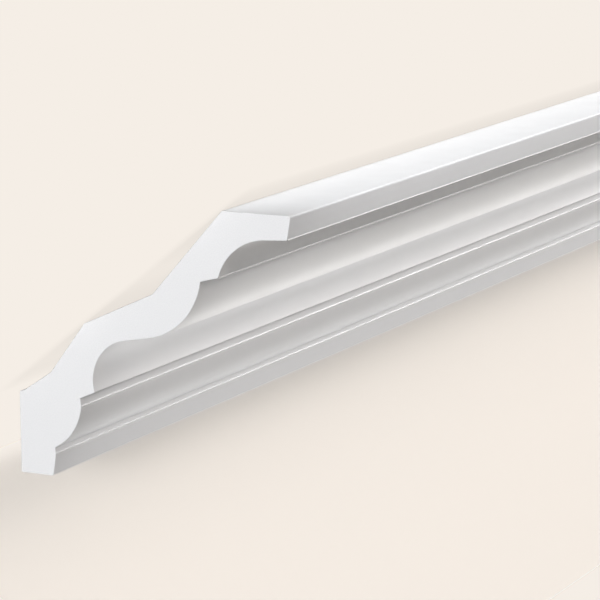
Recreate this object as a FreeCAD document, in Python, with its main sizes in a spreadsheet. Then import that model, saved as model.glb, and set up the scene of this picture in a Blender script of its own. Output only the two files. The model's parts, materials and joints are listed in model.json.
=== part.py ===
import FreeCAD, Part
import Sketcher
import math
import os

# A length of cornice moulding. The section is drawn as it is fixed in the corner of a room:
# X runs out from the wall, Z runs up towards the ceiling, and (0, 0) is where the lower edge
# meets the wall. The length runs along Y. The stock is then laid on its back, face up, resting
# on the two outer corners of its relieved back, which is how it lies unheld on a level floor.

# Driving dimensions: millimetres, and degrees where the note says so.
SIZES = [
    ("stock_length", 2000.0, "length that the moulding is sold in"),
    ("foot_width", 14.8, "width of the lower edge"),
    ("foot_fascia_height", 9.4, "height of the raked face above the lower edge"),
    ("foot_fascia_lean", 1.4, "how far that face leans out towards its top"),
    ("foot_band_height", 2.1, "height of the upright band above it"),
    ("foot_band_setback", 0.4, "how far the band leans back"),
    ("ovolo_foot_projection", 1.5, "step from the band out to the ovolo"),
    ("ovolo_foot_rise", 1.0, "rise of that step"),
    ("ovolo_projection", 10.7, "how far the ovolo stands out over its foot"),
    ("ovolo_height", 16.9, "height of the ovolo"),
    ("ovolo_radius", 22.0, "radius of the ovolo"),
    ("quirk_height", 3.2, "height of the band above the ovolo"),
    ("quirk_setback", 0.4, "how far that band leans back"),
    ("ledge_projection", 6.6, "width of the sloping ledge under the ogee"),
    ("ledge_rise", 2.9, "rise of that ledge"),
    ("hollow_radius", 17.2, "radius of the ogee's hollow"),
    ("hollow_undercut", 4.8, "height of the hollow's centre above the ledge"),
    ("ogee_slope", 10.5, "slope of the flat between hollow and belly, degrees"),
    ("ogee_flat", 11.0, "length of that flat"),
    ("belly_radius", 28.4, "radius of the ogee's belly"),
    ("belly_undercut", 3.9, "depth of the belly's end below its centre"),
    ("fillet_projection", 7.7, "width of the sloping fillet over the belly"),
    ("fillet_rise", 2.0, "rise of that fillet"),
    ("cove_radius", 21.8, "radius of the cove"),
    ("cove_undercut", 5.8, "height of the fillet's edge above the cove's centre"),
    ("soffit_slope", 4.0, "slope of the soffit in front of the cove, degrees"),
    ("soffit_width", 9.9, "width of that soffit"),
    ("top_fascia_height", 9.5, "height of the raked face under the ceiling"),
    ("top_fascia_lean", 1.6, "how far that face leans out towards its top"),
    ("ceiling_land", 29.2, "width of the face glued to the ceiling"),
    ("wall_land", 33.0, "height of the face glued to the wall"),
    ("shoulder_width", 2.4, "width of the shoulder above the wall face"),
    ("shoulder_rise", 0.8, "rise of that shoulder"),
    ("relief_depth", 14.4, "depth of the first back corner from the wall"),
    ("relief_rise", 8.9, "height of that corner above the wall face"),
    ("hollow_wall", 13.4, "material between the hollow and the back corner behind it"),
    ("hollow_corner_angle", 133.0, "direction of that corner from the hollow's centre, degrees"),
    ("belly_wall", 15.8, "material between the belly and the back corner behind it"),
    ("belly_corner_angle", 55.4, "direction of that corner below the belly's centre, degrees"),
    ("arris_radius", 0.8, "rounding of the moulded edges"),
]
size = {name: value for name, value, note in SIZES}

NODE = "cornice_moulding"


def make_sheet(doc):
    sheet = doc.addObject("Spreadsheet::Sheet", "Sizes")
    for row, (name, value, note) in enumerate(SIZES, start=1):
        sheet.set("A%d" % row, name)
        sheet.set("B%d" % row, str(value))
        sheet.setAlias("B%d" % row, name)
        sheet.set("C%d" % row, note)
    doc.recompute()
    return sheet


def step(point, along_x, along_z):
    return point + FreeCAD.Vector(along_x, along_z, 0)


def polar(centre, radius, degrees):
    turn = math.radians(degrees)
    return step(centre, radius * math.cos(turn), radius * math.sin(turn))


def across(radius, offset):
    """Half chord of a circle at a given offset from its centre."""
    return math.sqrt(radius ** 2 - offset ** 2)


def section_points():
    """Corners and arc centres of the section, worked along the face and then along the back."""
    p = {}
    p["heel"] = FreeCAD.Vector(0, 0, 0)
    p["toe"] = step(p["heel"], size["foot_width"], 0)
    p["foot_arris"] = step(p["toe"], size["foot_fascia_lean"], size["foot_fascia_height"])
    p["band_top"] = step(p["foot_arris"], -size["foot_band_setback"], size["foot_band_height"])
    p["ovolo_foot"] = step(p["band_top"], size["ovolo_foot_projection"], size["ovolo_foot_rise"])
    p["ovolo_arris"] = step(p["ovolo_foot"], size["ovolo_projection"], size["ovolo_height"])
    chord = p["ovolo_arris"] - p["ovolo_foot"]
    inward = FreeCAD.Vector(-chord.y, chord.x, 0).normalize()
    middle = (p["ovolo_arris"] + p["ovolo_foot"]) / 2
    p["ovolo_centre"] = middle + inward * across(size["ovolo_radius"], chord.Length / 2)
    p["quirk"] = step(p["ovolo_arris"], -size["quirk_setback"], size["quirk_height"])
    p["ledge"] = step(p["quirk"], size["ledge_projection"], size["ledge_rise"])

    reach = across(size["hollow_radius"], size["hollow_undercut"])
    p["hollow_centre"] = step(p["ledge"], reach, size["hollow_undercut"])
    square_to_flat = size["ogee_slope"] + 90
    p["hollow_top"] = polar(p["hollow_centre"], size["hollow_radius"], square_to_flat)
    p["belly_foot"] = polar(p["hollow_top"], size["ogee_flat"], size["ogee_slope"])
    p["belly_centre"] = polar(p["belly_foot"], size["belly_radius"], square_to_flat)
    reach = across(size["belly_radius"], size["belly_undercut"])
    p["belly_end"] = step(p["belly_centre"], reach, -size["belly_undercut"])

    p["fillet_arris"] = step(p["belly_end"], size["fillet_projection"], size["fillet_rise"])
    reach = across(size["cove_radius"], size["cove_undercut"])
    p["cove_centre"] = step(p["fillet_arris"], reach, -size["cove_undercut"])
    p["cove_top"] = polar(p["cove_centre"], size["cove_radius"], size["soffit_slope"] + 90)
    p["fascia_foot"] = polar(p["cove_top"], size["soffit_width"], size["soffit_slope"])
    p["fascia_top"] = step(p["fascia_foot"], size["top_fascia_lean"], size["top_fascia_height"])

    p["ceiling_back"] = step(p["fascia_top"], -size["ceiling_land"], 0)
    p["belly_corner"] = polar(
        p["belly_centre"], size["belly_radius"] - size["belly_wall"], -size["belly_corner_angle"]
    )
    p["hollow_corner"] = polar(
        p["hollow_centre"], size["hollow_radius"] + size["hollow_wall"], size["hollow_corner_angle"]
    )
    p["wall_top"] = step(p["heel"], 0, size["wall_land"])
    p["shoulder"] = step(p["wall_top"], size["shoulder_width"], size["shoulder_rise"])
    p["relief_corner"] = step(p["wall_top"], size["relief_depth"], size["relief_rise"])
    return p


# The outline, anticlockwise from the heel. An arc names its centre, and whether the outline runs
# along it anticlockwise (the material bulges) or clockwise (the material is hollowed).
OUTLINE = [
    ("foot", "heel", "toe", None),
    ("foot_fascia", "toe", "foot_arris", None),
    ("foot_band", "foot_arris", "band_top", None),
    ("ovolo_step", "band_top", "ovolo_foot", None),
    ("ovolo", "ovolo_foot", "ovolo_arris", ("ovolo_centre", "bulges")),
    ("quirk_band", "ovolo_arris", "quirk", None),
    ("ledge_face", "quirk", "ledge", None),
    ("hollow", "ledge", "hollow_top", ("hollow_centre", "hollowed")),
    ("flat", "hollow_top", "belly_foot", None),
    ("belly", "belly_foot", "belly_end", ("belly_centre", "bulges")),
    ("fillet", "belly_end", "fillet_arris", None),
    ("cove", "fillet_arris", "cove_top", ("cove_centre", "hollowed")),
    ("soffit", "cove_top", "fascia_foot", None),
    ("top_fascia", "fascia_foot", "fascia_top", None),
    ("ceiling_face", "fascia_top", "ceiling_back", None),
    ("back_upper", "ceiling_back", "belly_corner", None),
    ("back_middle", "belly_corner", "hollow_corner", None),
    ("back_lower", "hollow_corner", "relief_corner", None),
    ("back_foot", "relief_corner", "shoulder", None),
    ("shoulder_face", "shoulder", "wall_top", None),
    ("wall_face", "wall_top", "heel", None),
]
SMOOTH_CORNERS = ("hollow_top", "belly_foot", "cove_top")
START, END, CENTRE = 1, 2, 3


def draw_arc(sketch, centre, first, last):
    """An arc that turns anticlockwise from first to last."""
    radius = (first - centre).Length
    circle = Part.Circle(centre, FreeCAD.Vector(0, 0, 1), radius)
    angles = [math.atan2(end.y - centre.y, end.x - centre.x) for end in (first, last)]
    return sketch.addGeometry(Part.ArcOfCircle(circle, angles[0], angles[1]), False)


def draw_outline(sketch, p):
    """Draw the closed outline, and return each piece's number and where each corner is held."""
    piece = {}
    corner = {}
    ends = []
    for name, first, last, arc in OUTLINE:
        if arc is None:
            piece[name] = sketch.addGeometry(Part.LineSegment(p[first], p[last]), False)
            ends.append((piece[name], START, END))
        else:
            centre, form = arc
            if form == "bulges":
                piece[name] = draw_arc(sketch, p[centre], p[first], p[last])
                ends.append((piece[name], START, END))
            else:
                piece[name] = draw_arc(sketch, p[centre], p[last], p[first])
                ends.append((piece[name], END, START))
            corner[centre] = (piece[name], CENTRE)
        corner[first] = ends[-1][:2]
    joins = zip(OUTLINE, ends, ends[1:] + ends[:1])
    for (_, _, name, _), (number, _, last), (following, first, _) in joins:
        kind = "Tangent" if name in SMOOTH_CORNERS else "Coincident"
        sketch.addConstraint(Sketcher.Constraint(kind, number, last, following, first))
    return piece, corner


def bind(sketch, constraint, formula):
    """Add a measured constraint that takes its value from the sheet."""
    number = sketch.addConstraint(constraint)
    sketch.setExpression("Constraints[%d]" % number, formula)


def measure(sketch, kind, corner, first, last, name):
    """Hold the distance from one corner to another, along X or along Z, to a size."""
    values = corner[first] + corner[last] + (size[name],)
    bind(sketch, Sketcher.Constraint(kind, *values), "Sizes." + name)


def along_x(sketch, corner, first, last, name):
    measure(sketch, "DistanceX", corner, first, last, name)


def along_z(sketch, corner, first, last, name):
    measure(sketch, "DistanceY", corner, first, last, name)


def constrain_foot(sketch, piece, corner):
    origin = (-1, 1)
    sketch.addConstraint(Sketcher.Constraint("Coincident", *(corner["heel"] + origin)))
    sketch.addConstraint(Sketcher.Constraint("Horizontal", piece["foot"]))
    along_x(sketch, corner, "heel", "toe", "foot_width")
    along_x(sketch, corner, "toe", "foot_arris", "foot_fascia_lean")
    along_z(sketch, corner, "toe", "foot_arris", "foot_fascia_height")
    along_x(sketch, corner, "band_top", "foot_arris", "foot_band_setback")
    along_z(sketch, corner, "foot_arris", "band_top", "foot_band_height")


def constrain_ovolo(sketch, piece, corner):
    along_x(sketch, corner, "band_top", "ovolo_foot", "ovolo_foot_projection")
    along_z(sketch, corner, "band_top", "ovolo_foot", "ovolo_foot_rise")
    along_x(sketch, corner, "ovolo_foot", "ovolo_arris", "ovolo_projection")
    along_z(sketch, corner, "ovolo_foot", "ovolo_arris", "ovolo_height")
    radius = Sketcher.Constraint("Radius", piece["ovolo"], size["ovolo_radius"])
    bind(sketch, radius, "Sizes.ovolo_radius")
    along_x(sketch, corner, "quirk", "ovolo_arris", "quirk_setback")
    along_z(sketch, corner, "ovolo_arris", "quirk", "quirk_height")
    along_x(sketch, corner, "quirk", "ledge", "ledge_projection")
    along_z(sketch, corner, "quirk", "ledge", "ledge_rise")


def constrain_ogee(sketch, piece, corner):
    """Hollow and belly, with a flat that is tangent to both."""
    radius = Sketcher.Constraint("Radius", piece["hollow"], size["hollow_radius"])
    bind(sketch, radius, "Sizes.hollow_radius")
    along_z(sketch, corner, "ledge", "hollow_centre", "hollow_undercut")
    slope = Sketcher.Constraint("Angle", piece["flat"], math.radians(size["ogee_slope"]))
    bind(sketch, slope, "Sizes.ogee_slope * 1 deg")
    length = Sketcher.Constraint("Distance", piece["flat"], size["ogee_flat"])
    bind(sketch, length, "Sizes.ogee_flat")
    radius = Sketcher.Constraint("Radius", piece["belly"], size["belly_radius"])
    bind(sketch, radius, "Sizes.belly_radius")
    along_z(sketch, corner, "belly_end", "belly_centre", "belly_undercut")


def constrain_crown(sketch, piece, corner):
    """Fillet, cove, soffit, top fascia and the face that meets the ceiling."""
    along_x(sketch, corner, "belly_end", "fillet_arris", "fillet_projection")
    along_z(sketch, corner, "belly_end", "fillet_arris", "fillet_rise")
    radius = Sketcher.Constraint("Radius", piece["cove"], size["cove_radius"])
    bind(sketch, radius, "Sizes.cove_radius")
    along_z(sketch, corner, "cove_centre", "fillet_arris", "cove_undercut")
    slope = Sketcher.Constraint("Angle", piece["soffit"], math.radians(size["soffit_slope"]))
    bind(sketch, slope, "Sizes.soffit_slope * 1 deg")
    width = Sketcher.Constraint("Distance", piece["soffit"], size["soffit_width"])
    bind(sketch, width, "Sizes.soffit_width")
    along_x(sketch, corner, "fascia_foot", "fascia_top", "top_fascia_lean")
    along_z(sketch, corner, "fascia_foot", "fascia_top", "top_fascia_height")
    sketch.addConstraint(Sketcher.Constraint("Horizontal", piece["ceiling_face"]))
    along_x(sketch, corner, "ceiling_back", "fascia_top", "ceiling_land")


def constrain_back(sketch, piece, corner, p):
    """The relieved back keeps its wall behind the hollow and behind the belly."""
    sketch.addConstraint(Sketcher.Constraint("Vertical", piece["wall_face"]))
    along_z(sketch, corner, "heel", "wall_top", "wall_land")
    along_x(sketch, corner, "wall_top", "shoulder", "shoulder_width")
    along_z(sketch, corner, "wall_top", "shoulder", "shoulder_rise")
    along_x(sketch, corner, "wall_top", "relief_corner", "relief_depth")
    along_z(sketch, corner, "wall_top", "relief_corner", "relief_rise")
    spokes = [
        ("hollow_centre", "hollow_corner", "Sizes.hollow_radius + Sizes.hollow_wall",
         "Sizes.hollow_corner_angle * 1 deg"),
        ("belly_centre", "belly_corner", "Sizes.belly_radius - Sizes.belly_wall",
         "-Sizes.belly_corner_angle * 1 deg"),
    ]
    for centre, back_corner, length, angle in spokes:
        spoke = sketch.addGeometry(Part.LineSegment(p[centre], p[back_corner]), True)
        run = p[back_corner] - p[centre]
        for end, name in ((START, centre), (END, back_corner)):
            join = Sketcher.Constraint("Coincident", spoke, end, *corner[name])
            sketch.addConstraint(join)
        bind(sketch, Sketcher.Constraint("Distance", spoke, run.Length), length)
        turn = math.atan2(run.y, run.x)
        bind(sketch, Sketcher.Constraint("Angle", spoke, turn), angle)


def edge_names(shape, places):
    """Names of the edges that run the whole length through the given places of the section."""
    names = []
    for number, edge in enumerate(shape.Edges, start=1):
        middle = edge.BoundBox.Center
        runs_along = edge.BoundBox.YLength > size["stock_length"] / 2
        near = any(math.hypot(middle.x - q.x, middle.z - q.y) < 1e-3 for q in places)
        if runs_along and near:
            names.append("Edge%d" % number)
    return names


def make_moulding(doc, p):
    body = doc.addObject("PartDesign::Body", NODE)
    body.Label = NODE
    section = body.newObject("Sketcher::SketchObject", "Section")
    planes = {plane.Role: plane for plane in body.Origin.OriginFeatures}
    section.AttachmentSupport = [(planes["XZ_Plane"], "")]
    section.MapMode = "FlatFace"
    piece, corner = draw_outline(section, p)
    constrain_foot(section, piece, corner)
    constrain_ovolo(section, piece, corner)
    constrain_ogee(section, piece, corner)
    constrain_crown(section, piece, corner)
    constrain_back(section, piece, corner, p)
    doc.recompute()

    run = body.newObject("PartDesign::Pad", "Run")
    run.Profile = section
    run.SideType = "Symmetric"
    run.setExpression("Length", "Sizes.stock_length")
    doc.recompute()

    # The mould's edges come out softly rounded; the back and the sawn ends are crisp.
    arrises = ("toe", "foot_arris", "ovolo_arris", "fillet_arris", "fascia_foot", "fascia_top")
    rounding = body.newObject("PartDesign::Fillet", "Arrises")
    rounding.Base = (run, edge_names(run.Shape, [p[name] for name in arrises]))
    rounding.setExpression("Radius", "Sizes.arris_radius")
    body.Tip = rounding
    doc.recompute()
    return body


def lay_on_back(doc, body, p):
    """Turn the stock until its two outer back corners are level, and stand it on Z = 0."""
    rest = p["ceiling_back"] - p["hollow_corner"]
    turn = 180 - math.degrees(math.atan2(rest.y, rest.x))
    body.Placement = FreeCAD.Placement(
        FreeCAD.Vector(0, 0, 0), FreeCAD.Rotation(FreeCAD.Vector(0, -1, 0), turn)
    )
    doc.recompute()
    box = body.Shape.optimalBoundingBox(False, False)
    body.Placement.Base = FreeCAD.Vector(-box.Center.x, -box.Center.y, -box.ZMin)
    doc.recompute()
    return turn


def check(doc, shapes):
    for item in doc.Objects:
        if "Invalid" in item.State or "Error" in item.State:
            raise RuntimeError("%s failed: %s" % (item.Name, item.State))
    for body in shapes:
        if body.Shape.isNull() or not body.Shape.isValid():
            raise RuntimeError("%s has no sound shape" % body.Label)
        if len(body.Shape.Solids) != 1:
            raise RuntimeError("%s is not one solid" % body.Label)
    section = doc.getObject("Section")
    if not section.FullyConstrained:
        raise RuntimeError("the section is not fully dimensioned")


doc = FreeCAD.newDocument("cornice")
make_sheet(doc)
points = section_points()
moulding = make_moulding(doc, points)
turned = lay_on_back(doc, moulding, points)
check(doc, [moulding])

os.makedirs("parts", exist_ok=True)
for body in [moulding]:
    body.Shape.exportStep("parts/%s.step" % body.Label)
    box = body.Shape.optimalBoundingBox(False, False)
    print(body.Label, "volume %.0f mm3" % body.Shape.Volume, "faces", len(body.Shape.Faces))
    print("projection %.2f drop %.2f" % (points["fascia_top"].x, points["fascia_top"].y))
    print("turned %.3f degrees, base" % turned, body.Placement.Base)
    print("box", box.XMin, box.XMax, box.YMin, box.YMax, box.ZMin, box.ZMax)
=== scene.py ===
import json
import math

import bmesh
import bpy
from mathutils import Matrix, Vector


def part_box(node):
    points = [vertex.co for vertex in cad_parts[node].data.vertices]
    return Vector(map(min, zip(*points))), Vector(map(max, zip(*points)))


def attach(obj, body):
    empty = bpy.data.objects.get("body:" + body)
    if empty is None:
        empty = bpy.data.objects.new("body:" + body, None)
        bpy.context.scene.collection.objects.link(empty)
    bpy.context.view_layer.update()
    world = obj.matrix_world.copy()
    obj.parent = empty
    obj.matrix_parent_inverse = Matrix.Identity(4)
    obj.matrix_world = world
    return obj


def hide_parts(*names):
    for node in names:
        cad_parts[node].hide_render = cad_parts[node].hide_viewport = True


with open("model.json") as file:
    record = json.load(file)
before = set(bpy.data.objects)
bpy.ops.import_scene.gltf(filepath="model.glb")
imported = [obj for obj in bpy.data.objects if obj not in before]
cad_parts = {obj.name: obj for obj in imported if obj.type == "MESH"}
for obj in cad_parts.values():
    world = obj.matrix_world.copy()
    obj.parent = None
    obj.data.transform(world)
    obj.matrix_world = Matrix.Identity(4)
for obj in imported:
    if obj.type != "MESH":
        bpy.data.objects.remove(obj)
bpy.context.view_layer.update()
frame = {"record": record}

# The moulding is one piece of stock. Its section is worked out in millimetres as it is fixed in
# the corner of a room: the first number runs out from the wall, the second up to the ceiling, and
# (0, 0) is the heel, where the lower edge meets the wall. The frame's mounts say where that is.
MM = 0.001
NODE = "cornice_moulding"

SIZE = {
    "foot_width": 14.8,
    "foot_fascia_height": 9.4,
    "foot_fascia_lean": 1.4,
    "foot_band_height": 2.1,
    "foot_band_setback": 0.4,
    "ovolo_foot_projection": 1.5,
    "ovolo_foot_rise": 1.0,
    "ovolo_projection": 10.7,
    "ovolo_height": 16.9,
    "ovolo_radius": 22.0,
    "quirk_height": 3.2,
    "quirk_setback": 0.4,
    "ledge_projection": 6.6,
    "ledge_rise": 2.9,
    "hollow_radius": 17.2,
    "hollow_undercut": 4.8,
    "ogee_slope": 10.5,
    "ogee_flat": 11.0,
    "belly_radius": 28.4,
    "belly_undercut": 3.9,
    "fillet_projection": 7.7,
    "fillet_rise": 2.0,
    "cove_radius": 21.8,
    "cove_undercut": 5.8,
    "soffit_slope": 4.0,
    "soffit_width": 9.9,
    "top_fascia_height": 9.5,
    "top_fascia_lean": 1.6,
    "ceiling_land": 29.2,
    "wall_land": 33.0,
    "shoulder_width": 2.4,
    "shoulder_rise": 0.8,
    "relief_depth": 14.4,
    "relief_rise": 8.9,
    "hollow_wall": 13.4,
    "hollow_corner_angle": 133.0,
    "belly_wall": 15.8,
    "belly_corner_angle": 55.4,
}
# Radii of the outer edges, of the other corners and of the rim of the cuts, which has to be the
# smallest, because the outline is drawn in by it there.
ARRIS_RADIUS = 0.8
CRISP_RADIUS = 0.5
CUT_RIM = 0.42

# How finely the rim, the rings along the stock, the arcs and the rounded corners are divided. A
# corner that turns less than the smooth turn isn't rounded. The heading at a point of a rounding
# is taken between two places this share of a step before and after it.
RIM_STEPS = 3
RING_SPACING = 20.0
ARC_STEP = math.radians(2.5)
ROUNDING_STEP = math.radians(9)
SMOOTH_TURN = math.radians(1)
HEADING_NUDGE = 0.4

# The outline, anticlockwise from the heel, with the centre and turn of each arc and the surface
# that each stretch belongs to.
OUTLINE = [
    ("heel", "toe", None, "back"),
    ("toe", "foot_arris", None, "face"),
    ("foot_arris", "band_top", None, "face"),
    ("band_top", "ovolo_foot", None, "face"),
    ("ovolo_foot", "ovolo_arris", ("ovolo_centre", 1), "face"),
    ("ovolo_arris", "quirk", None, "face"),
    ("quirk", "ledge", None, "face"),
    ("ledge", "hollow_top", ("hollow_centre", -1), "face"),
    ("hollow_top", "belly_foot", None, "face"),
    ("belly_foot", "belly_end", ("belly_centre", 1), "face"),
    ("belly_end", "fillet_arris", None, "face"),
    ("fillet_arris", "cove_top", ("cove_centre", -1), "face"),
    ("cove_top", "fascia_foot", None, "face"),
    ("fascia_foot", "fascia_top", None, "face"),
    ("fascia_top", "ceiling_back", None, "back"),
    ("ceiling_back", "belly_corner", None, "back"),
    ("belly_corner", "hollow_corner", None, "back"),
    ("hollow_corner", "relief_corner", None, "back"),
    ("relief_corner", "shoulder", None, "back"),
    ("shoulder", "wall_top", None, "back"),
    ("wall_top", "heel", None, "back"),
]
# Four arrises end in a fine raised bead, which catches the light along the whole length. They are
# given with the height of each. A bead rises over three rings beside each cut.
BEADS = {"foot_arris": 0.2, "ovolo_arris": 0.2, "fillet_arris": 0.26, "fascia_foot": 0.26}
BEAD_WIDTH = 1.0
BEAD_STEPS = 14
BEAD_START = 1.2
BEAD_START_RINGS = (0.35, 0.7, 1.0)
ARRISES = ("toe", "fascia_top")
# The surfaces, in the order of the piece's materials.
SURFACES = ("face", "back", "end", "bead")

# Where the stock lies: the room corner's directions in the row frame, and the near end's heel.
mounts = {mount["name"]: mount for mount in frame["record"]["mounts"]}
OUT = -Vector(mounts["wall_face"]["axis"]).normalized()
UP = Vector(mounts["ceiling_face"]["axis"]).normalized()
ALONG = Vector((0, 1, 0))
NEAR, FAR = (corner.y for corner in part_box(NODE))
HEEL = Vector(mounts["wall_face"]["pos_m"]) - UP * (SIZE["wall_land"] / 2 * MM)
HEEL.y = NEAR


def in_room(out, along, up):
    """A place in the row frame, from millimetres measured from the near end's heel."""
    return HEEL + (OUT * out + ALONG * along + UP * up) * MM


def polar(centre, radius, degrees):
    turn = math.radians(degrees)
    return centre + Vector((radius * math.cos(turn), radius * math.sin(turn)))


def across(radius, offset):
    """Half chord of a circle at a given offset from its centre."""
    return math.sqrt(radius ** 2 - offset ** 2)


def section_points():
    """Corners and arc centres of the section, worked along the face and then along the back."""
    at = {}
    at["heel"] = Vector((0, 0))
    at["toe"] = at["heel"] + Vector((SIZE["foot_width"], 0))
    at["foot_arris"] = at["toe"] + Vector((SIZE["foot_fascia_lean"], SIZE["foot_fascia_height"]))
    at["band_top"] = at["foot_arris"] + Vector((-SIZE["foot_band_setback"], SIZE["foot_band_height"]))
    at["ovolo_foot"] = at["band_top"] + Vector((SIZE["ovolo_foot_projection"], SIZE["ovolo_foot_rise"]))
    at["ovolo_arris"] = at["ovolo_foot"] + Vector((SIZE["ovolo_projection"], SIZE["ovolo_height"]))
    chord = at["ovolo_arris"] - at["ovolo_foot"]
    inward = chord.orthogonal().normalized()
    middle = (at["ovolo_arris"] + at["ovolo_foot"]) / 2
    at["ovolo_centre"] = middle + inward * across(SIZE["ovolo_radius"], chord.length / 2)
    at["quirk"] = at["ovolo_arris"] + Vector((-SIZE["quirk_setback"], SIZE["quirk_height"]))
    at["ledge"] = at["quirk"] + Vector((SIZE["ledge_projection"], SIZE["ledge_rise"]))

    reach = across(SIZE["hollow_radius"], SIZE["hollow_undercut"])
    at["hollow_centre"] = at["ledge"] + Vector((reach, SIZE["hollow_undercut"]))
    square_to_flat = SIZE["ogee_slope"] + 90
    at["hollow_top"] = polar(at["hollow_centre"], SIZE["hollow_radius"], square_to_flat)
    at["belly_foot"] = polar(at["hollow_top"], SIZE["ogee_flat"], SIZE["ogee_slope"])
    at["belly_centre"] = polar(at["belly_foot"], SIZE["belly_radius"], square_to_flat)
    reach = across(SIZE["belly_radius"], SIZE["belly_undercut"])
    at["belly_end"] = at["belly_centre"] + Vector((reach, -SIZE["belly_undercut"]))

    at["fillet_arris"] = at["belly_end"] + Vector((SIZE["fillet_projection"], SIZE["fillet_rise"]))
    reach = across(SIZE["cove_radius"], SIZE["cove_undercut"])
    at["cove_centre"] = at["fillet_arris"] + Vector((reach, -SIZE["cove_undercut"]))
    at["cove_top"] = polar(at["cove_centre"], SIZE["cove_radius"], SIZE["soffit_slope"] + 90)
    at["fascia_foot"] = polar(at["cove_top"], SIZE["soffit_width"], SIZE["soffit_slope"])
    at["fascia_top"] = at["fascia_foot"] + Vector((SIZE["top_fascia_lean"], SIZE["top_fascia_height"]))

    at["ceiling_back"] = at["fascia_top"] - Vector((SIZE["ceiling_land"], 0))
    inner = SIZE["belly_radius"] - SIZE["belly_wall"]
    at["belly_corner"] = polar(at["belly_centre"], inner, -SIZE["belly_corner_angle"])
    outer = SIZE["hollow_radius"] + SIZE["hollow_wall"]
    at["hollow_corner"] = polar(at["hollow_centre"], outer, SIZE["hollow_corner_angle"])
    at["wall_top"] = at["heel"] + Vector((0, SIZE["wall_land"]))
    at["shoulder"] = at["wall_top"] + Vector((SIZE["shoulder_width"], SIZE["shoulder_rise"]))
    at["relief_corner"] = at["wall_top"] + Vector((SIZE["relief_depth"], SIZE["relief_rise"]))
    return at


class Stretch:
    """A straight or arched stretch of the outline, with its place and heading at any share."""

    def __init__(self, first, last, centre, turning):
        self.first, self.last, self.centre = first, last, centre
        self.turn = 0.0
        self.length = (last - first).length
        if centre:
            spoke, last_spoke = first - centre, last - centre
            self.turn = abs(spoke.angle(last_spoke)) * turning
            self.length = abs(self.turn) * spoke.length

    def place(self, share):
        if not self.centre:
            return self.first.lerp(self.last, share)
        return self.centre + Matrix.Rotation(self.turn * share, 2) @ (self.first - self.centre)

    def heading(self, share):
        if not self.centre:
            return (self.last - self.first).normalized()
        spoke = (self.place(share) - self.centre).normalized()
        side = math.copysign(1, self.turn)
        return Vector((-spoke.y, spoke.x)) * side


def weighted_curve(before, corner, after, weight, share):
    """A place on the circular easing of a corner: a weighted curve through its two ends."""
    shares = ((1 - share) ** 2, 2 * weight * share * (1 - share), share ** 2)
    return (before * shares[0] + corner * shares[1] + after * shares[2]) / sum(shares)


def bead_rise(share, height):
    """How far the rounded top of a bead stands proud, at a share of its width."""
    if not height:
        return 0.0
    radius = (BEAD_WIDTH ** 2 / 4 + height ** 2) / (2 * height)
    return across(radius, (share - 0.5) * BEAD_WIDTH) - (radius - height)


class Corner:
    """Where two stretches meet: smooth, crisp, eased, or raised into a fine bead."""

    def __init__(self, name, previous, following, bead_share):
        self.previous, self.following = previous, following
        self.bead_height = BEADS.get(name, 0.0) * bead_share
        self.heading_in, self.heading_out = previous.heading(1), following.heading(0)
        self.turn = self.heading_in.angle(self.heading_out)
        self.bead = name in BEADS
        radius = ARRIS_RADIUS if name in ARRISES else CRISP_RADIUS
        self.trim = BEAD_WIDTH / 2 if self.bead else radius * math.tan(self.turn / 2)
        self.smooth = self.turn < SMOOTH_TURN and not self.bead

    def place(self, share):
        before = self.previous.place(1 - self.trim / self.previous.length)
        after = self.following.place(self.trim / self.following.length)
        weight = math.cos(self.turn / 2)
        place = weighted_curve(before, self.following.first, after, weight, share)
        if self.bead:
            run = after - before
            outward = Vector((run.y, -run.x)).normalized()
            place = place + outward * bead_rise(share, self.bead_height)
        return place

    def points(self):
        """The places between its ends, with their headings."""
        if self.smooth:
            return []
        steps = BEAD_STEPS if self.bead else max(2, math.ceil(self.turn / ROUNDING_STEP))
        nudge = HEADING_NUDGE / steps
        found = []
        for number in range(1, steps):
            share = number / steps
            heading = (self.place(share + nudge) - self.place(share - nudge)).normalized()
            found.append((self.place(share), heading))
        return found


def moulded_outline(bead_share):
    """The outline as a closed run: each point's place, outward normal and surface, and whether it
    lies on a bead.
    """
    points = section_points()
    stretches = []
    for first, last, arc, _ in OUTLINE:
        centre, turning = (points[arc[0]], arc[1]) if arc else (None, 0)
        stretches.append(Stretch(points[first], points[last], centre, turning))
    corners = [
        Corner(OUTLINE[number][0], stretches[number - 1], stretch, bead_share)
        for number, stretch in enumerate(stretches)
    ]
    run = []
    for number, stretch in enumerate(stretches):
        surface = OUTLINE[number][3]
        corner, following = corners[number], corners[(number + 1) % len(corners)]
        for place, heading in corner.points():
            run.append((place, heading, surface, corner.bead))
        start = corner.trim / stretch.length
        end = 1 - following.trim / stretch.length
        steps = max(1, math.ceil(abs(stretch.turn) / ARC_STEP))
        for step in range(steps if following.smooth else steps + 1):
            share = start + (end - start) * step / steps
            run.append((stretch.place(share), stretch.heading(share), surface, False))
    return [
        (place, Vector((heading.y, -heading.x)), surface, on_bead)
        for place, heading, surface, on_bead in run
    ]


def ring_plan(length):
    """Where the rings stand along the stock: place, inset, turn to the cut, and bead share."""
    turns = [math.pi / 2 * (1 - step / RIM_STEPS) for step in range(RIM_STEPS + 1)]
    near = [
        (CUT_RIM * (1 - math.sin(turn)), CUT_RIM * (1 - math.cos(turn)), -turn, 0.0)
        for turn in turns
    ]
    for share in BEAD_START_RINGS:
        rise = math.sin(share * math.pi / 2)
        near.append((CUT_RIM + (BEAD_START - CUT_RIM) * share, 0.0, 0.0, rise))
    bays = round(length / RING_SPACING)
    body = [(length * bay / bays, 0.0, 0.0, 1.0) for bay in range(1, bays)]
    far = [(length - along, inset, -turn, rise) for along, inset, turn, rise in reversed(near)]
    return near + body + far


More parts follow.
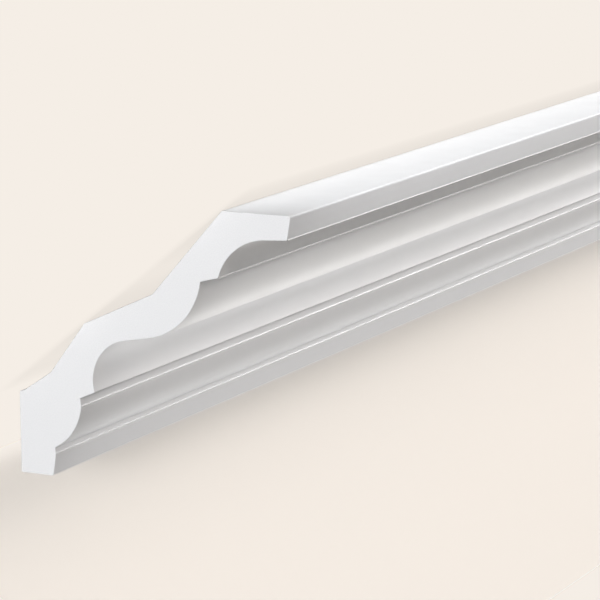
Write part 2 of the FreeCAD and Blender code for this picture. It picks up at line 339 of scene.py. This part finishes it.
def make_rings(shape):
    """The rings of vertices from the near cut to the far one, and the normal of each vertex."""
    plain, beaded = moulded_outline(0.0), moulded_outline(1.0)
    rings, normals = [], []
    for along, inset, turn, rise in ring_plan((FAR - NEAR) / MM):
        ring = []
        for (bare, bare_normal, _, _), (proud, proud_normal, _, _) in zip(plain, beaded):
            normal = bare_normal.lerp(proud_normal, rise)
            spot = bare.lerp(proud, rise) - normal * inset
            ring.append(shape.verts.new(in_room(spot.x, along, spot.y)))
            sideways = (OUT * normal.x + UP * normal.y).normalized() * math.cos(turn)
            normals.append((sideways + ALONG * math.sin(turn)).normalized())
        rings.append(ring)
    return rings, normals


def side_surfaces():
    """The surface of each side between one point of the outline and the next."""
    outline = moulded_outline(1.0)
    return [
        "bead" if on_bead or outline[number - 1][3] else surface
        for number, (_, _, surface, on_bead) in enumerate(outline)
    ]


def make_moulding():
    mesh = bpy.data.meshes.new("moulding")
    shape = bmesh.new()
    rings, normals = make_rings(shape)
    surfaces = side_surfaces()
    bays = len(rings) - 1
    for number, (ring, following) in enumerate(zip(rings, rings[1:])):
        on_rim = number < RIM_STEPS or number >= bays - RIM_STEPS
        for index in range(len(ring)):
            after = (index + 1) % len(ring)
            side = shape.faces.new((ring[index], following[index], following[after], ring[after]))
            side.material_index = SURFACES.index("end" if on_rim else surfaces[after])
    for ring in (rings[0], list(reversed(rings[-1]))):
        cap = shape.faces.new(ring)
        cap.material_index = SURFACES.index("end")
    for side in shape.faces:
        side.smooth = True
    shape.to_mesh(mesh)
    shape.free()
    mesh.normals_split_custom_set_from_vertices(normals)
    piece = bpy.data.objects.new("moulding", mesh)
    bpy.context.scene.collection.objects.link(piece)
    return piece


# The noise values between which a roughness and a tint run from one end to the other, and how far
# the primer's roughness strays either way.
ROUGHNESS_RANGE = (0.3, 0.7)
TINT_RANGE = (0.35, 0.65)
PRIMER_ROUGHNESS_SPREAD = 0.03


def new_material(name):
    material = bpy.data.materials.new(name)
    material.use_nodes = True
    tree = material.node_tree
    return material, tree, tree.nodes["Principled BSDF"]


def link(tree, source, output, target, entry):
    tree.links.new(source.outputs[output], target.inputs[entry])


def noise_node(tree, place, scale, detail):
    """Noise at a given count per metre."""
    node = tree.nodes.new("ShaderNodeTexNoise")
    node.inputs["Scale"].default_value = scale
    node.inputs["Detail"].default_value = detail
    link(tree, place, "Object", node, "Vector")
    return node


def roughen(tree, source, target, smoother, rougher):
    """Roughens a surface between two close values by a noise."""
    node = tree.nodes.new("ShaderNodeMapRange")
    node.inputs["From Min"].default_value, node.inputs["From Max"].default_value = ROUGHNESS_RANGE
    node.inputs["To Min"].default_value = smoother
    node.inputs["To Max"].default_value = rougher
    link(tree, source, "Fac", node, "Value")
    link(tree, node, "Result", target, "Roughness")


def tint(tree, source, target, darker, lighter):
    """Colours a surface between two close tints by a noise."""
    ramp = tree.nodes.new("ShaderNodeValToRGB")
    for stop, position, colour in zip(ramp.color_ramp.elements, TINT_RANGE, (darker, lighter)):
        stop.position = position
        stop.color = (*colour, 1)
    link(tree, source, "Fac", ramp, "Fac")
    link(tree, ramp, "Color", target, "Base Color")


def bump(tree, source, target, distance, strength):
    """Raises a surface by a noise, to a height in metres."""
    node = tree.nodes.new("ShaderNodeBump")
    node.inputs["Distance"].default_value = distance
    node.inputs["Strength"].default_value = strength
    link(tree, source, "Fac", node, "Height")
    link(tree, node, "Normal", target, "Normal")


def primer(name, roughness, specular):
    """Smooth white primer, faintly clouded, with a soft orange peel."""
    material, tree, shader = new_material(name)
    shader.inputs["Specular IOR Level"].default_value = specular
    place = tree.nodes.new("ShaderNodeTexCoord")
    cloud = noise_node(tree, place, scale=28, detail=2)
    tint(tree, cloud, shader, darker=(0.868, 0.872, 0.888), lighter=(0.885, 0.888, 0.9))
    smoother, rougher = roughness - PRIMER_ROUGHNESS_SPREAD, roughness + PRIMER_ROUGHNESS_SPREAD
    roughen(tree, cloud, shader, smoother, rougher)
    peel = noise_node(tree, place, scale=750, detail=2)
    bump(tree, peel, shader, distance=0.00002, strength=0.4)
    return material


def primed_face():
    return primer("primed_face", roughness=0.5, specular=0.4)


def moulded_bead():
    """The same primer, worn sleek where hands and packing touch it."""
    return primer("moulded_bead", roughness=0.22, specular=1.0)


def sawn_end():
    """Dense fine-celled foam, sawn square: matte, with a fine speckle."""
    material, tree, shader = new_material("sawn_end")
    place = tree.nodes.new("ShaderNodeTexCoord")
    cells = noise_node(tree, place, scale=1900, detail=3)
    tint(tree, cells, shader, darker=(0.845, 0.85, 0.866), lighter=(0.89, 0.893, 0.905))
    roughen(tree, cells, shader, smoother=0.7, rougher=0.85)
    bump(tree, cells, shader, distance=0.00006, strength=0.4)
    return material


def mould_back():
    """The hidden side keeps the mould's duller, slightly coarser skin."""
    material, tree, shader = new_material("mould_back")
    place = tree.nodes.new("ShaderNodeTexCoord")
    cloud = noise_node(tree, place, scale=90, detail=4)
    tint(tree, cloud, shader, darker=(0.855, 0.858, 0.87), lighter=(0.882, 0.885, 0.896))
    roughen(tree, cloud, shader, smoother=0.5, rougher=0.62)
    grain = noise_node(tree, place, scale=1100, detail=3)
    bump(tree, grain, shader, distance=0.00005, strength=0.5)
    return material


moulding = make_moulding()
for make in (primed_face, mould_back, sawn_end, moulded_bead):
    moulding.data.materials.append(make())
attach(moulding, "root")
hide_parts(NODE)

# A plain studio: a wide cream floor under a dim sky, with a cream backdrop. The floor's reach, the
# X between which its look changes and the reach of the shade under the stock are in metres.
CREAM = (0.913, 0.855, 0.791)
FLOOR_ALBEDO = (0.86, 0.83, 0.79)
FLOOR_REACH = 60.0
FLOOR_BLEND = (0.15, 0.2)
CONTACT_REACH = 0.01
CONTACT_SHADE = 0.12
SKY = 0.01
SKY_COLOUR = (1.0, 0.98, 0.96)

# Far lamps, all low: azimuth from +X towards +Y, elevation, how brightly a white card facing the
# lamp would show, width of the lamp, and colour. The key and the shadow light throw the stock's
# shadow past its lower edge, one lamp lights each cut, and the last three shine from beyond the
# far end, for the gleam on the edges.
SUNS = [
    ("key", 195.0, 6.0, 0.16, 12.0, (1.0, 0.92, 0.86)),
    ("end_light", 275.0, 1.2, 0.74, 3.0, (0.98, 0.99, 1.0)),
    ("far_end_light", 92.0, 1.2, 0.35, 3.0, (0.98, 0.99, 1.0)),
    ("shadow_light", 241.0, 4.7, 0.16, 3.0, (1.0, 0.99, 0.98)),
    ("far_sheen", 66.0, 8.0, 0.05, 30.0, (1.0, 0.97, 0.96)),
    ("edge_light", 118.0, 3.0, 0.10, 12.0, (0.93, 0.97, 1.0)),
    ("edge_light_high", 110.7, 17.7, 0.03, 10.0, (1.0, 1.0, 1.0)),
]

# Long lamps beside the stock, in millimetres across the floor: centre, width, the direction they
# shine in, the angle of their beam, their glow and colour. A panel lies on the floor, from under
# the upper edge outwards, and shines up at the ceiling face, with a strip above it for the upper
# fascia. Four thin strips hang over the face, with two narrow beams down on the ogee. One more
# panel lies past the lower edge, for the face that meets the wall.
LONG_LAMPS = [
    ("ceiling_panel", (-310.0, 0.5), 500.0, 90.0, 180.0, 0.262, (0.8, 0.9, 1.0)),
    ("fascia_strip", (-150.0, 12.0), 20.0, 10.0, 180.0, 4.2, (1.0, 1.0, 1.0)),
    ("belly_strip", (-30.0, 60.0), 10.0, 290.0, 180.0, 2.45, (1.0, 0.98, 0.95)),
    ("belly_beam", (-16.0, 60.0), 10.0, 270.0, 40.0, 0.29, (1.0, 0.99, 0.98)),
    ("hollow_strip", (5.0, 45.0), 10.0, 285.0, 180.0, 1.1, (1.0, 0.98, 0.96)),
    ("hollow_beam", (21.0, 60.0), 10.0, 270.0, 30.0, 0.38, (1.0, 0.99, 0.98)),
    ("ovolo_strip", (65.0, 60.0), 10.0, 225.0, 180.0, 1.3, (1.0, 1.0, 1.0)),
    ("low_ovolo_strip", (90.0, 60.0), 14.0, 215.0, 180.0, 1.6, (1.0, 1.0, 1.0)),
    ("wall_panel", (130.0, 0.5), 60.0, 120.0, 180.0, 0.5, (1.0, 1.0, 1.0)),
]


def seen_directly(tree):
    """One for what is seen directly, in a reflection or through glass, nothing for other light."""
    path = tree.nodes.new("ShaderNodeLightPath")
    seen = path.outputs["Is Camera Ray"]
    for ray in ("Is Glossy Ray", "Is Transmission Ray"):
        either = tree.nodes.new("ShaderNodeMath")
        either.operation = "MAXIMUM"
        tree.links.new(seen, either.inputs[0])
        tree.links.new(path.outputs[ray], either.inputs[1])
        seen = either.outputs["Value"]
    return seen


def mix_shaders(tree, share, first, second):
    """The second shader's share of a mix of two, by a node's output."""
    mix = tree.nodes.new("ShaderNodeMixShader")
    tree.links.new(share, mix.inputs["Fac"])
    tree.links.new(first.outputs[0], mix.inputs[1])
    tree.links.new(second.outputs[0], mix.inputs[2])
    return mix


def cream_gain(tree):
    """A matte cream, lifted so far that the far lamps and the sky show it about as it is."""
    lit = SKY + sum(
        strength * math.sin(math.radians(elevation))
        for _, _, elevation, strength, _, _ in SUNS
    )
    shaded = tree.nodes.new("ShaderNodeBsdfDiffuse")
    shaded.inputs["Color"].default_value = (*(part / lit for part in CREAM), 1)
    return shaded


def cream_glow(tree):
    """A cream glow, a little darker close under the stock."""
    contact = tree.nodes.new("ShaderNodeAmbientOcclusion")
    contact.inputs["Distance"].default_value = CONTACT_REACH
    strength = tree.nodes.new("ShaderNodeMapRange")
    strength.inputs["To Min"].default_value = 1 - CONTACT_SHADE
    link(tree, contact, "AO", strength, "Value")
    glow = tree.nodes.new("ShaderNodeEmission")
    glow.inputs["Color"].default_value = (*CREAM, 1)
    link(tree, strength, "Result", glow, "Strength")
    return glow


def past_lower_edge(tree):
    """Nothing by the stock and before its upper edge, one well past its lower edge."""
    place = tree.nodes.new("ShaderNodeTexCoord")
    parts = tree.nodes.new("ShaderNodeSeparateXYZ")
    link(tree, place, "Object", parts, "Vector")
    blend = tree.nodes.new("ShaderNodeMapRange")
    blend.interpolation_type = "SMOOTHSTEP"
    blend.inputs["From Min"].default_value, blend.inputs["From Max"].default_value = FLOOR_BLEND
    link(tree, parts, "X", blend, "Value")
    return blend.outputs["Result"]


def make_floor():
    """The far lamps light it plainly for the stock's sake. Seen directly, it is lifted to the
    backdrop's cream: past the lower edge by a gain, which keeps the stock's shadow, and elsewhere
    by a glow, because the gain would also lift the light that the stock throws on the floor.
    """
    mesh = bpy.data.meshes.new("floor")
    shape = bmesh.new()
    bmesh.ops.create_grid(shape, x_segments=1, y_segments=1, size=FLOOR_REACH)
    shape.to_mesh(mesh)
    shape.free()
    floor = bpy.data.objects.new("floor", mesh)
    bpy.context.scene.collection.objects.link(floor)
    material, tree, shader = new_material("pale_floor")
    shader.inputs["Base Color"].default_value = (*FLOOR_ALBEDO, 1)
    shader.inputs["Roughness"].default_value = 1.0
    shader.inputs["Specular IOR Level"].default_value = 0.0
    seen = mix_shaders(tree, past_lower_edge(tree), cream_glow(tree), cream_gain(tree))
    surface = mix_shaders(tree, seen_directly(tree), shader, seen)
    tree.links.new(surface.outputs[0], tree.nodes["Material Output"].inputs["Surface"])
    mesh.materials.append(material)


def make_sky():
    world = bpy.data.worlds.new("studio")
    world.use_nodes = True
    bpy.context.scene.world = world
    tree = world.node_tree
    light = tree.nodes["Background"]
    light.inputs["Color"].default_value = (*SKY_COLOUR, 1)
    light.inputs["Strength"].default_value = SKY
    backdrop = tree.nodes.new("ShaderNodeBackground")
    backdrop.inputs["Color"].default_value = (*CREAM, 1)
    backdrop.inputs["Strength"].default_value = 1.0
    mix = mix_shaders(tree, seen_directly(tree), light, backdrop)
    tree.links.new(mix.outputs[0], tree.nodes["World Output"].inputs["Surface"])


def make_sun(name, azimuth, elevation, strength, width, colour):
    lamp = bpy.data.lights.new(name, "SUN")
    lamp.energy = strength * math.pi
    lamp.angle = math.radians(width)
    lamp.color = colour
    sun = bpy.data.objects.new(name, lamp)
    bpy.context.scene.collection.objects.link(sun)
    across_floor, height = math.radians(azimuth), math.radians(elevation)
    towards = Vector((
        math.cos(across_floor) * math.cos(height),
        math.sin(across_floor) * math.cos(height),
        math.sin(height),
    ))
    sun.rotation_mode = "QUATERNION"
    sun.rotation_quaternion = towards.to_track_quat("Z", "Y")


def make_long_lamp(name, centre, width, heading, beam, glow, colour, stock):
    """An area lamp of an even glow: with its widest beam, pi W a square metre glow 1. It lights
    the stock alone, so that the floor shows no bright band beside it.
    """
    lamp = bpy.data.lights.new(name, "AREA")
    lamp.shape = "RECTANGLE"
    lamp.size, lamp.size_y = width * MM, FAR - NEAR
    lamp.spread = math.radians(beam)
    lamp.energy = glow * math.pi * lamp.size * lamp.size_y
    lamp.color = colour
    piece = bpy.data.objects.new(name, lamp)
    bpy.context.scene.collection.objects.link(piece)
    piece.visible_camera = False
    piece.light_linking.receiver_collection = stock
    turn = math.radians(heading)
    shine = Vector((math.cos(turn), 0, math.sin(turn)))
    turned = Matrix((ALONG.cross(-shine), ALONG, -shine)).transposed().to_4x4()
    piece.matrix_world = Matrix.Translation(Vector((centre[0], 0, centre[1])) * MM) @ turned


# The camera stands to the stock as in the photograph, in front of the face and a little above it,
# and looks along it towards the wall. Its place is in millimetres from the near end's heel, its
# angles are in degrees in the room's directions, its lens and sensor are in millimetres, and its
# reach is in metres.
CAMERA_PLACE = (644.36, -1045.83, 306.95)
CAMERA_HEADING = 26.4615
CAMERA_PITCH = 11.0024
CAMERA_ROLL = 0.2358
CAMERA_LENS = 190.53
CAMERA_SENSOR = 36.0
CAMERA_REACH = 200.0


def make_camera():
    lens = bpy.data.cameras.new("camera")
    lens.lens = CAMERA_LENS
    lens.sensor_width = CAMERA_SENSOR
    lens.clip_end = CAMERA_REACH
    camera = bpy.data.objects.new("camera", lens)
    bpy.context.scene.collection.objects.link(camera)
    heading, pitch = math.radians(CAMERA_HEADING), math.radians(CAMERA_PITCH)
    level = ALONG * math.cos(heading) - OUT * math.sin(heading)
    forward = level * math.cos(pitch) - UP * math.sin(pitch)
    right = forward.cross(UP).normalized()
    upward = right.cross(forward)
    roll = math.radians(CAMERA_ROLL)
    upward, right = (
        upward * math.cos(roll) + right * math.sin(roll),
        right * math.cos(roll) - upward * math.sin(roll),
    )
    turned = Matrix((right, upward, -forward)).transposed().to_4x4()
    camera.matrix_world = Matrix.Translation(in_room(*CAMERA_PLACE)) @ turned
    bpy.context.scene.camera = camera


make_floor()
make_sky()
for sun in SUNS:
    make_sun(*sun)
stock = bpy.data.collections.new("stock")
stock.objects.link(moulding)
for lamp in LONG_LAMPS:
    make_long_lamp(*lamp, stock)
make_camera()
bpy.context.scene.view_settings.view_transform = "Standard"
